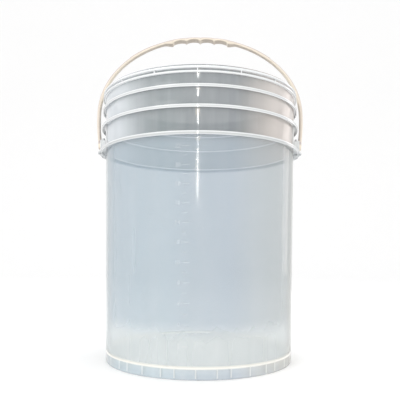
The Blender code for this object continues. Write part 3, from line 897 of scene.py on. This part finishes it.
def handle_plastic():
    """Satin cream plastic with a fine moulded grain, with painted light and shade: faces turned up are
    darkened to a pinkish grey, faces turned down are lit to cream, and faces turned straight down are
    darkened again.
    """
    material, nodes, links, shader = new_material("handle_plastic")
    coords = nodes.new("ShaderNodeTexCoord")
    place = coords.outputs["Object"]
    geometry = nodes.new("ShaderNodeNewGeometry")
    facing = nodes.new("ShaderNodeSeparateXYZ")
    links.new(geometry.outputs["Normal"], facing.inputs[0])
    # Painted light and shade by the way each face turns: up darker, down paler, straight down darker again
    under = between(nodes, links, facing.outputs[2], 0.35, -0.25)
    parts = nodes.new("ShaderNodeSeparateXYZ")
    links.new(place, parts.inputs[0])
    low = between(nodes, links, parts.outputs[2], LEG_FADE[1] - PIVOT_HEIGHT, LEG_FADE[0] - PIVOT_HEIGHT)
    cream = blend_colour(nodes, links, under, (0.52, 0.455, 0.43), (0.84, 0.76, 0.64))
    cream = blend_colour(nodes, links, between(nodes, links, facing.outputs[2], -0.55, -0.90), cream,
                         (0.60, 0.52, 0.44))
    cool = blend_colour(nodes, links, low, cream, (0.68, 0.75, 0.80))
    mottle = noise(nodes, links, place, (1.0, 1.0, 1.0), 90.0, 3.0)
    links.new(blend_colour(nodes, links, between(nodes, links, mottle, 0.3, 0.8, 0.0, 0.12), cool,
                           (0.62, 0.57, 0.53)), shader.inputs["Base Color"])
    links.new(between(nodes, links, mottle, 0.3, 0.7, 0.32, 0.46), shader.inputs["Roughness"])
    grain = noise(nodes, links, place, (1.0, 1.0, 1.0), 260.0, 2.0)
    bump = nodes.new("ShaderNodeBump")
    bump.inputs["Strength"].default_value = 0.02
    bump.inputs["Distance"].default_value = 0.0004
    links.new(grain, bump.inputs["Height"])
    links.new(bump.outputs[0], shader.inputs["Normal"])
    return material


# --- stage, light and camera ----------------------------------------------------------------------

def make_stage():
    """A pale floor that sweeps up into a backdrop far behind the bucket."""
    profile = [(-7.0, 0.0), (2.5, 0.0)]
    for step in range(1, 25):
        angle = 0.5 * math.pi * step / 24
        profile.append((2.5 + 2.0 * math.sin(angle), 2.0 - 2.0 * math.cos(angle)))
    profile.append((4.5, 7.0))
    builder = bmesh.new()
    rows = [[builder.verts.new((x, y, z)) for x in (-9.0, 9.0)] for y, z in profile]
    for row, following in zip(rows, rows[1:]):
        builder.faces.new((row[0], row[1], following[1], following[0]))
    floor = object_from("floor", builder)
    floor.data.shade_smooth()
    material, nodes, links, shader = new_material("floor_paint")
    shader.inputs["Base Color"].default_value = (0.93, 0.93, 0.93, 1.0)
    shader.inputs["Roughness"].default_value = 0.9
    shader.inputs["Specular IOR Level"].default_value = 0.1
    floor.data.materials.append(material)


def area_light(name, place, target, size, power, colour):
    data = bpy.data.lights.new(name, "AREA")
    data.shape = "RECTANGLE"
    data.size, data.size_y = size
    data.energy = power
    data.color = colour
    lamp = bpy.data.objects.new(name, data)
    bpy.context.scene.collection.objects.link(lamp)
    lamp.location = place
    lamp.rotation_euler = (Vector(target) - Vector(place)).to_track_quat("-Z", "Y").to_euler()
    lamp.visible_camera = False
    return lamp


def make_light():
    world = bpy.data.worlds.new("studio")
    world.use_nodes = True
    background = world.node_tree.nodes["Background"]
    background.inputs["Color"].default_value = (1.0, 1.0, 1.0, 1.0)
    background.inputs["Strength"].default_value = 1.06
    bpy.context.scene.world = world
    area_light("strip", (-0.08, -2.16, 0.68), (0.0, -0.16, 0.30), (0.035, 0.62), 5.0, (1.0, 1.0, 1.0))
    area_light("strip_top", (-0.08, -2.16, 1.12), (0.0, -0.16, 0.38), (0.035, 0.26), 0.15, (0.95, 0.98, 1.0))
    area_light("glow", (-0.09, -2.20, 0.50), (0.0, -0.16, 0.26), (0.20, 0.28), 1.3, (1.0, 0.80, 0.52))
    area_light("rear_right", (1.30, 0.75, 0.62), (0.0, 0.0, 0.25), (0.45, 1.2), 3.0, (1.0, 0.90, 0.86))
    area_light("key", (-1.3, -1.6, 1.7), (0.0, 0.0, 0.25), (1.0, 1.0), 8.0, (1.0, 0.98, 0.95))
    area_light("top", (0.1, 0.1, 1.7), (0.0, 0.0, 0.0), (0.5, 0.5), 6.0, (1.0, 1.0, 1.0))
    bpy.context.scene.view_settings.view_transform = "Standard"


def make_camera():
    data = bpy.data.cameras.new("camera")
    data.sensor_width = 36.0
    data.lens = 43.62
    data.clip_start = 0.01
    camera = bpy.data.objects.new("camera", data)
    bpy.context.scene.collection.objects.link(camera)
    camera.location = (0.0009, -0.8221, 0.1715)
    pitch = Matrix.Rotation(math.radians(90.0 + 6.137), 4, "X")
    roll = Matrix.Rotation(math.radians(0.35), 4, "Z")
    camera.rotation_euler = (pitch @ roll).to_euler()
    bpy.context.scene.camera = camera


make_camera()
make_stage()
make_light()

bucket = make_bucket()
bucket.name = "clear_bucket"
bucket.data.materials.clear()
bucket.data.materials.append(clear_plastic())
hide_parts("bucket")
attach(bucket, "bucket")

handle = make_handle()
handle.name = "moulded_handle"
handle.data.materials.clear()
handle.data.materials.append(handle_plastic())
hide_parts("bail_handle")
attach(handle, "handle")
